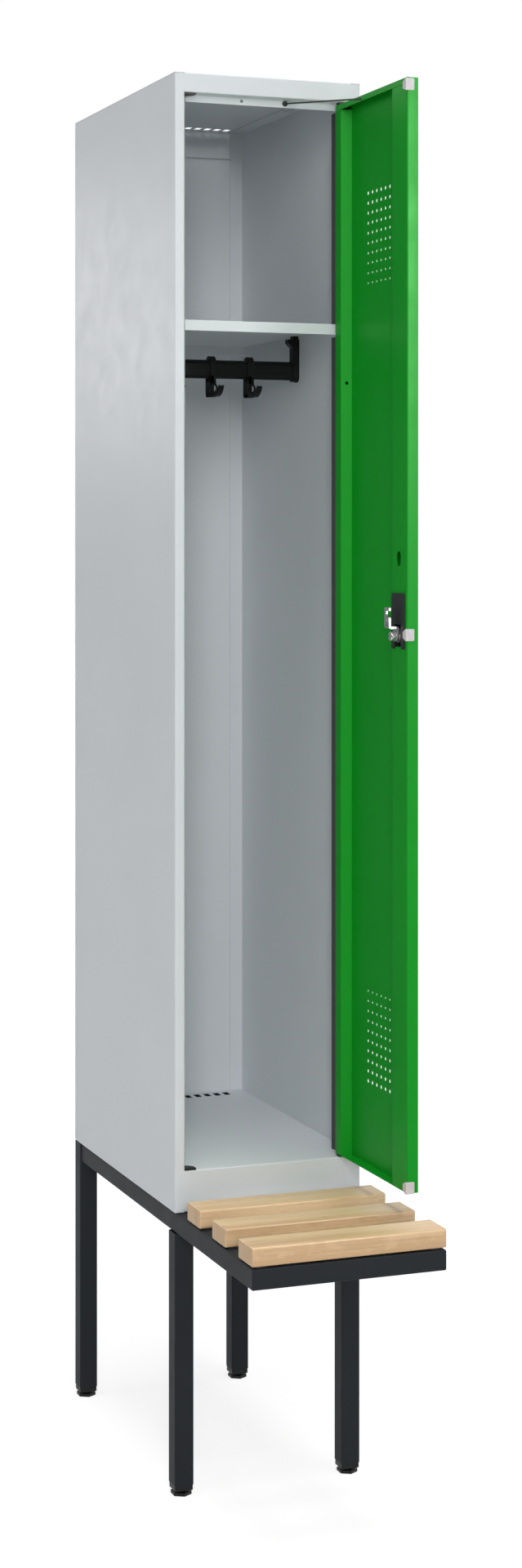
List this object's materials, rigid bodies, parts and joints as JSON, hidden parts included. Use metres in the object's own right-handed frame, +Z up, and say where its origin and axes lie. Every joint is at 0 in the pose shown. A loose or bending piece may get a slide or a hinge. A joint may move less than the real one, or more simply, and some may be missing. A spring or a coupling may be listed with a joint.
{
  "type": "locker with bench",
  "caption": "Tall sheet-metal locker with one hinged door, a top shelf and a coat rail, on a tube stand that carries a slatted seat in front.",
  "frame": {"origin": "on the floor, under the middle of the whole object's footprint with the door open at a right angle", "axes": "+Z up; +Y from the bench and the door to the back panel; +X to the right of someone who faces the door, to the side that carries the hinges"},
  "size_m": [0.3, 0.811, 2.124],
  "materials": {
    "cabinet_paint": "fine-textured light grey powder coat, satin",
    "door_paint": "smooth bright green powder coat, satin",
    "stand_paint": "anthracite powder coat, satin to matt",
    "slat_wood": "clear-lacquered beech, straight grain along the slat",
    "black_plastic": "moulded black plastic, fine matt grain",
    "seal_rubber": "black rubber or felt strip, matt",
    "bumper_plastic": "pale grey moulded plastic, matt",
    "plated_metal": "zinc- or nickel-plated, polished by tumbling",
    "cord_cover": "thin black braided cord"
  },
  "bodies": {
    "cabinet": {"side_panel_left": "cabinet_paint", "side_panel_right": "cabinet_paint", "back_panel": "cabinet_paint", "roof_header": "cabinet_paint", "floor_threshold": "cabinet_paint", "shelf": "cabinet_paint", "bush_top_left": "black_plastic", "bush_top_right": "black_plastic", "bush_bottom_left": "black_plastic", "bush_bottom_right": "black_plastic", "hinge_strip_lower": "seal_rubber", "hinge_strip_upper": "seal_rubber", "coat_rail": "black_plastic", "rail_bracket_left": "black_plastic", "rail_bracket_right": "black_plastic", "stand_rail_left": "stand_paint", "stand_rail_right": "stand_paint", "bench_front_rail": "stand_paint", "stand_cross_rail": "stand_paint", "stand_rear_rail": "stand_paint", "leg_front_left": "stand_paint", "leg_front_right": "stand_paint", "leg_rear_left": "stand_paint", "leg_rear_right": "stand_paint", "leg_cap_front_left": "black_plastic", "leg_cap_front_right": "black_plastic", "leg_cap_rear_left": "black_plastic", "leg_cap_rear_right": "black_plastic", "slat_front": "slat_wood", "slat_middle": "slat_wood", "slat_rear": "slat_wood", "slat_pad_front_left": "seal_rubber", "slat_pad_front_right": "seal_rubber", "slat_pad_middle_left": "seal_rubber", "slat_pad_middle_right": "seal_rubber", "slat_pad_rear_left": "seal_rubber", "slat_pad_rear_right": "seal_rubber", "cabinet_pad_left": "seal_rubber", "cabinet_pad_right": "seal_rubber", "limiter_button": "black_plastic"},
    "door": {"door_leaf": "door_paint", "pivot_pin_top": "plated_metal", "pivot_pin_bottom": "plated_metal", "door_bumper_top": "bumper_plastic", "door_bumper_middle": "bumper_plastic", "door_bumper_bottom": "bumper_plastic", "lock_housing": "black_plastic", "lock_barrel": "plated_metal", "limiter_cord": "cord_cover"},
    "lock": {"lock_plug": "plated_metal", "lock_cam": "plated_metal", "cam_screw": "plated_metal"},
    "hook_left_body": {"hook_left": "black_plastic"},
    "hook_middle_body": {"hook_middle": "black_plastic"},
    "hook_right_body": {"hook_right": "black_plastic"},
    "foot_front_left_body": {"foot_front_left": "black_plastic"},
    "foot_front_right_body": {"foot_front_right": "black_plastic"},
    "foot_rear_left_body": {"foot_rear_left": "black_plastic"},
    "foot_rear_right_body": {"foot_rear_right": "black_plastic"}
  },
  "joints": [
    {"name": "door_hinge", "type": "hinge", "parent": "cabinet", "child": "door", "pos_m": [0.12625, -0.08895, 1.29], "axis": [0, 0, 1], "range_deg": [-90, 0], "deforming": ["limiter_cord"]},
    {"name": "lock_turn", "type": "hinge", "parent": "door", "child": "lock", "pos_m": [0.1082, -0.3155, 1.2875], "axis": [1, 0, 0], "range_deg": [0, 90]},
    {"name": "hook_left_slide", "type": "slide", "parent": "cabinet", "child": "hook_left_body", "axis": [1, 0, 0], "range_m": [-0.05, 0.025]},
    {"name": "hook_middle_slide", "type": "slide", "parent": "cabinet", "child": "hook_middle_body", "axis": [1, 0, 0], "range_m": [-0.025, 0.025]},
    {"name": "hook_right_slide", "type": "slide", "parent": "cabinet", "child": "hook_right_body", "axis": [1, 0, 0], "range_m": [-0.025, 0.05]},
    {"name": "foot_front_left_height", "type": "slide", "parent": "cabinet", "child": "foot_front_left_body", "axis": [0, 0, -1], "range_m": [0, 0.015]},
    {"name": "foot_front_right_height", "type": "slide", "parent": "cabinet", "child": "foot_front_right_body", "axis": [0, 0, -1], "range_m": [0, 0.015]},
    {"name": "foot_rear_left_height", "type": "slide", "parent": "cabinet", "child": "foot_rear_left_body", "axis": [0, 0, -1], "range_m": [0, 0.015]},
    {"name": "foot_rear_right_height", "type": "slide", "parent": "cabinet", "child": "foot_rear_right_body", "axis": [0, 0, -1], "range_m": [0, 0.015]}
  ]
}
